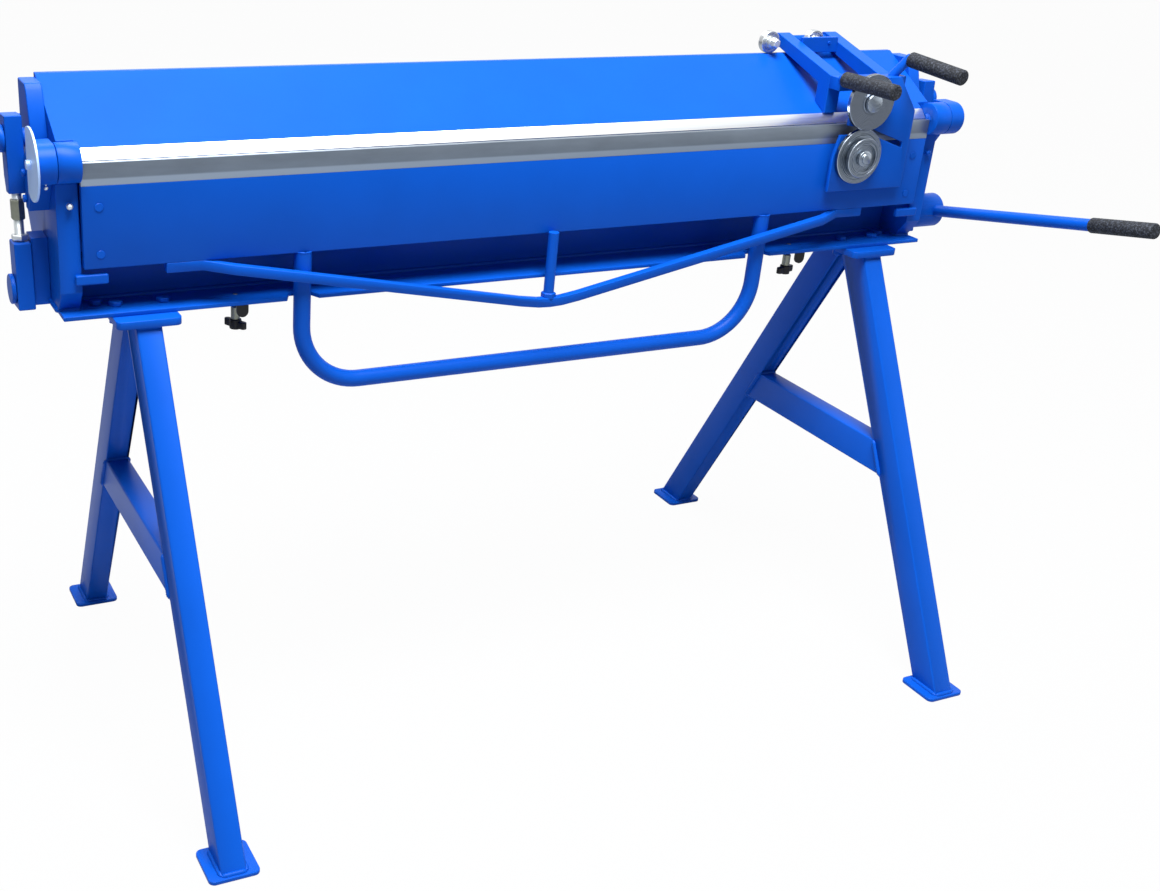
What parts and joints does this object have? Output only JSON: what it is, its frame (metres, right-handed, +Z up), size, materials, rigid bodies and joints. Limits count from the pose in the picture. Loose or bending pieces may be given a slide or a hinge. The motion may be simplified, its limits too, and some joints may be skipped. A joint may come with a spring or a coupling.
{
  "type": "sheet metal folder",
  "caption": "Hand-operated sheet metal folder on two A-frame trestles, with clamp lever, truss-braced folding beam and rolling shear carriage.",
  "frame": {"origin": "middle of the machine's overall box in plan, on the floor between the trestle feet", "axes": "+X along the bed towards the clamping lever, +Y from the folding beam to the back of the machine, +Z up"},
  "size_m": [1.621, 0.8448, 1.0003],
  "materials": {
    "blue_paint": "semi-gloss powder coat",
    "ground_steel": "ground",
    "polished_steel": "polished",
    "zinc_steel": "zinc plated",
    "cutter_chrome": "turned and polished",
    "black_plastic": "matte",
    "grip_foam": "textured foam"
  },
  "bodies": {
    "base": {"trestle_legs": "blue_paint", "trestle_crossbars": "blue_paint", "trestle_top_plates": "blue_paint", "trestle_foot_plates": "blue_paint", "base_bolts": "blue_paint", "base_flange": "blue_paint", "base_web": "blue_paint", "bed_bar": "blue_paint", "end_plates": "blue_paint", "base_lugs": "blue_paint", "hinge_brackets": "blue_paint", "bracket_bolts": "zinc_steel", "grease_nipples": "zinc_steel", "bearing_blocks": "blue_paint"},
    "folding_beam": {"folding_beam_plate": "blue_paint", "folding_blade": "ground_steel", "folding_knuckles": "blue_paint", "hinge_pins": "ground_steel", "beam_screws": "blue_paint", "tie_bar": "blue_paint", "centre_strut": "blue_paint", "pull_handle": "blue_paint", "protractor": "zinc_steel"},
    "clamp_shaft": {"cross_shaft": "ground_steel", "shaft_washers": "blue_paint", "lever_hub": "blue_paint", "lever_rod": "blue_paint", "lever_grip": "grip_foam"},
    "upper_beam": {"upper_beam_top_plate": "blue_paint", "upper_beam_back_plate": "blue_paint", "upper_beam_bottom_plate": "blue_paint", "clamp_nose": "polished_steel", "cheeks": "blue_paint", "upper_beam_end_blocks": "blue_paint", "rear_pivot_pins": "ground_steel", "link_pins": "blue_paint"},
    "link_left": {"upper_link_left": "blue_paint", "lower_link_left": "blue_paint", "link_locknut_left": "zinc_steel"},
    "link_right": {"upper_link_right": "blue_paint", "lower_link_right": "blue_paint", "link_locknut_right": "zinc_steel"},
    "turnbuckle_left": {"turnbuckle_left": "zinc_steel"},
    "turnbuckle_right": {"turnbuckle_right": "zinc_steel"},
    "truck": {"truck_bar": "blue_paint"},
    "carriage": {"carriage_members": "blue_paint", "carriage_crossbar": "blue_paint", "carriage_rear_plate": "blue_paint", "shear_plate": "blue_paint", "cutter_spindles": "cutter_chrome", "grip_rods": "blue_paint", "carriage_grips": "grip_foam"},
    "truck_wheel_left": {"truck_wheel_left": "cutter_chrome"},
    "truck_wheel_right": {"truck_wheel_right": "cutter_chrome"},
    "upper_cutter": {"upper_cutter": "cutter_chrome"},
    "lower_cutter": {"lower_cutter": "cutter_chrome"},
    "hand_screw_left": {"hand_screw_left_stud": "zinc_steel", "hand_screw_left_knob": "black_plastic"},
    "hand_screw_right": {"hand_screw_right_stud": "zinc_steel", "hand_screw_right_knob": "black_plastic"}
  },
  "joints": [
    {"name": "fold", "type": "hinge", "parent": "base", "child": "folding_beam", "pos_m": [-0.0265, -0.035, 0.878], "axis": [-1, 0, 0], "range_deg": [0, 135]},
    {"name": "clamp_lever", "type": "hinge", "parent": "base", "child": "clamp_shaft", "pos_m": [-0.0265, 0.05, 0.695], "axis": [-1, 0, 0], "range_deg": [0, 100]},
    {"name": "upper_beam_lift", "type": "hinge", "parent": "base", "child": "upper_beam", "pos_m": [-0.0265, 0.17, 0.89], "axis": [-1, 0, 0], "range_deg": [0, 7.7]},
    {"name": "link_left_swing", "type": "hinge", "parent": "upper_beam", "child": "link_left", "pos_m": [-0.7915, 0.055, 0.892], "axis": [-1, 0, 0], "range_deg": [-7.5, 0]},
    {"name": "link_right_swing", "type": "hinge", "parent": "upper_beam", "child": "link_right", "pos_m": [0.7385, 0.055, 0.892], "axis": [-1, 0, 0], "range_deg": [-7.5, 0]},
    {"name": "turnbuckle_left_turn", "type": "hinge", "parent": "link_left", "child": "turnbuckle_left", "pos_m": [-0.7915, 0.04897, 0.7987], "axis": [0, 0.0645, 0.9979], "continuous": true},
    {"name": "turnbuckle_right_turn", "type": "hinge", "parent": "link_right", "child": "turnbuckle_right", "pos_m": [0.7385, 0.04897, 0.7987], "axis": [0, 0.0645, 0.9979], "continuous": true},
    {"name": "carriage_slide", "type": "slide", "parent": "upper_beam", "child": "truck", "axis": [1, 0, 0], "range_m": [-1.165, 0.045]},
    {"name": "carriage_tip", "type": "hinge", "parent": "truck", "child": "carriage", "pos_m": [0.5185, 0.122, 0.98275], "axis": [-1, 0, 0], "range_deg": [0, 102]},
    {"name": "truck_wheel_left_spin", "type": "hinge", "parent": "truck", "child": "truck_wheel_left", "pos_m": [0.4405, 0.107, 0.98275], "axis": [0, 1, 0], "range_deg": [-3830, 150]},
    {"name": "truck_wheel_right_spin", "type": "hinge", "parent": "truck", "child": "truck_wheel_right", "pos_m": [0.5305, 0.107, 0.98275], "axis": [0, 1, 0], "range_deg": [-3830, 150]},
    {"name": "upper_cutter_spin", "type": "hinge", "parent": "carriage", "child": "upper_cutter", "pos_m": [0.5185, -0.0698, 0.917], "axis": [0, 1, 0], "range_deg": [-1530, 60]},
    {"name": "lower_cutter_spin", "type": "hinge", "parent": "carriage", "child": "lower_cutter", "pos_m": [0.5185, -0.0618, 0.83], "axis": [0, 1, 0], "range_deg": [-60, 1530]},
    {"name": "hand_screw_left_turn", "type": "hinge", "parent": "base", "child": "hand_screw_left", "pos_m": [-0.5085, -0.005, 0.648], "axis": [0, 0, 1], "continuous": true},
    {"name": "hand_screw_right_turn", "type": "hinge", "parent": "base", "child": "hand_screw_right", "pos_m": [0.4555, -0.005, 0.648], "axis": [0, 0, 1], "continuous": true}
  ],
  "couplings": [
    {"joint": "upper_beam_lift", "follows": "clamp_lever", "ratio": 0.0763},
    {"joint": "link_left_swing", "follows": "clamp_lever", "ratio": -0.0728},
    {"joint": "link_right_swing", "follows": "clamp_lever", "ratio": -0.0728},
    {"joint": "carriage_tip", "follows": "fold", "ratio": 0.75},
    {"joint": "truck_wheel_left_spin", "follows": "carriage_slide", "rad_per_m": 57.143},
    {"joint": "truck_wheel_right_spin", "follows": "carriage_slide", "rad_per_m": 57.143},
    {"joint": "upper_cutter_spin", "follows": "carriage_slide", "rad_per_m": 22.727},
    {"joint": "lower_cutter_spin", "follows": "carriage_slide", "rad_per_m": -22.727}
  ]
}
